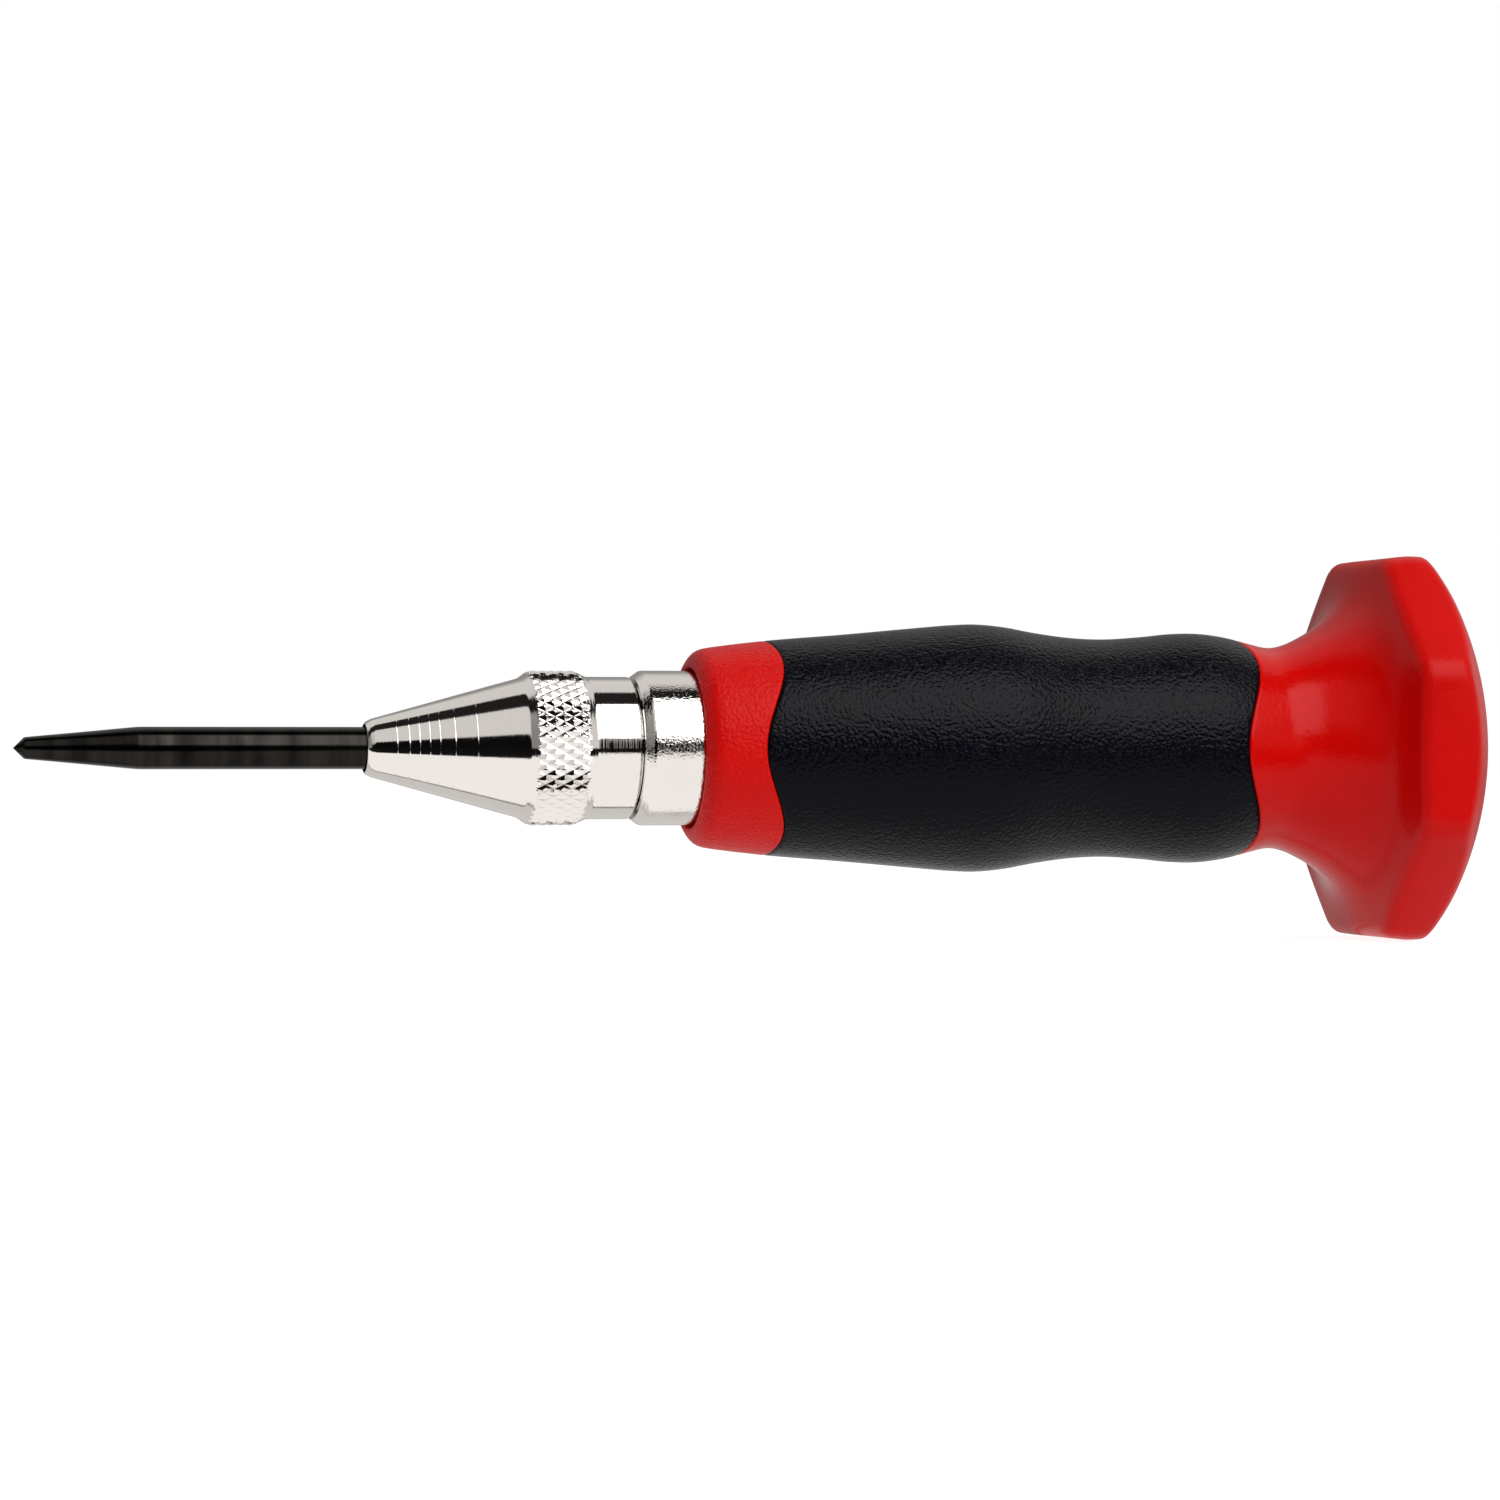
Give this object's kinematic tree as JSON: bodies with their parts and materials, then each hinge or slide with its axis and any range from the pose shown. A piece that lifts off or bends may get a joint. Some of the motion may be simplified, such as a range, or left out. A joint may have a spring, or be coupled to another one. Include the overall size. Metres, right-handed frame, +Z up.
{
  "type": "automatic centre punch",
  "caption": "Spring-loaded automatic centre punch with a slender bit, a knurled nose cone, a contoured soft grip and an octagonal palm cap.",
  "frame": {"origin": "centre of the bounding box, on the tool's axis halfway along its length", "axes": "+X along the tool's axis towards the palm cap, so the bit points along -X; +Z up, square to a flat of the octagonal cap; +Y completes a right-handed frame"},
  "size_m": [0.1554, 0.0408, 0.0408],
  "materials": {
    "black_oxide": "ground and blackened, thin oil sheen",
    "hardened_steel": "turned and hardened",
    "spring_steel": "drawn wire",
    "nickel_plate": "bright nickel over turned steel",
    "seal_rubber": "moulded",
    "brass": "turned",
    "red_plastic": "smooth moulded, fine grain on the collar",
    "black_grip": "leather grain"
  },
  "bodies": {
    "barrel": {"body_tube": "nickel_plate", "guide_bush": "hardened_steel", "stop_ring": "spring_steel", "return_spring": "spring_steel"},
    "seal": {"nose_o_ring": "seal_rubber"},
    "nose": {"nose_cone": "nickel_plate"},
    "plunger": {"punch_bit": "black_oxide", "bit_holder": "hardened_steel", "bit_set_screw": "black_oxide", "striker_rod": "hardened_steel"},
    "striker": {"hammer": "hardened_steel", "trip_spring": "spring_steel"},
    "catch": {"trip_block": "hardened_steel"},
    "seat": {"spring_seat": "hardened_steel", "thrust_ball": "hardened_steel", "main_spring": "spring_steel"},
    "handle": {"handle_core": "red_plastic", "grip_sleeve": "black_grip", "threaded_insert": "brass", "thrust_plate": "hardened_steel"}
  },
  "joints": [
    {"name": "bit_slide", "type": "slide", "parent": "nose", "child": "plunger", "axis": [1, 0, 0], "range_m": [0, 0.0085], "stiffness_N_per_m": 400, "springref_m": -0.004, "deforming": ["return_spring"]},
    {"name": "hammer_slide", "type": "slide", "parent": "barrel", "child": "striker", "axis": [1, 0, 0], "range_m": [0, 0.0085], "stiffness_N_per_m": 6000, "springref_m": -0.004, "deforming": ["main_spring"]},
    {"name": "catch_slide", "type": "slide", "parent": "striker", "child": "catch", "axis": [0, 0, -1], "range_m": [0, 0.0008], "stiffness_N_per_m": 800, "springref_m": -0.0006, "deforming": ["trip_spring"]},
    {"name": "nose_turn", "type": "hinge", "parent": "seal", "child": "nose", "pos_m": [-0.02, 0, 0], "axis": [1, 0, 0], "range_deg": [-1440, 0]},
    {"name": "nose_advance", "type": "slide", "parent": "barrel", "child": "seal", "axis": [1, 0, 0], "range_m": [-0.004, 0]},
    {"name": "handle_turn", "type": "hinge", "parent": "seat", "child": "handle", "pos_m": [0.03, 0, 0], "axis": [1, 0, 0], "range_deg": [-1440, 1080]},
    {"name": "handle_advance", "type": "slide", "parent": "barrel", "child": "seat", "axis": [1, 0, 0], "range_m": [-0.004, 0.003]}
  ],
  "couplings": [
    {"joint": "hammer_slide", "follows": "bit_slide", "ratio": 1},
    {"joint": "nose_advance", "follows": "nose_turn", "m_per_rad": 0.00015915},
    {"joint": "handle_advance", "follows": "handle_turn", "m_per_rad": 0.00015915}
  ]
}
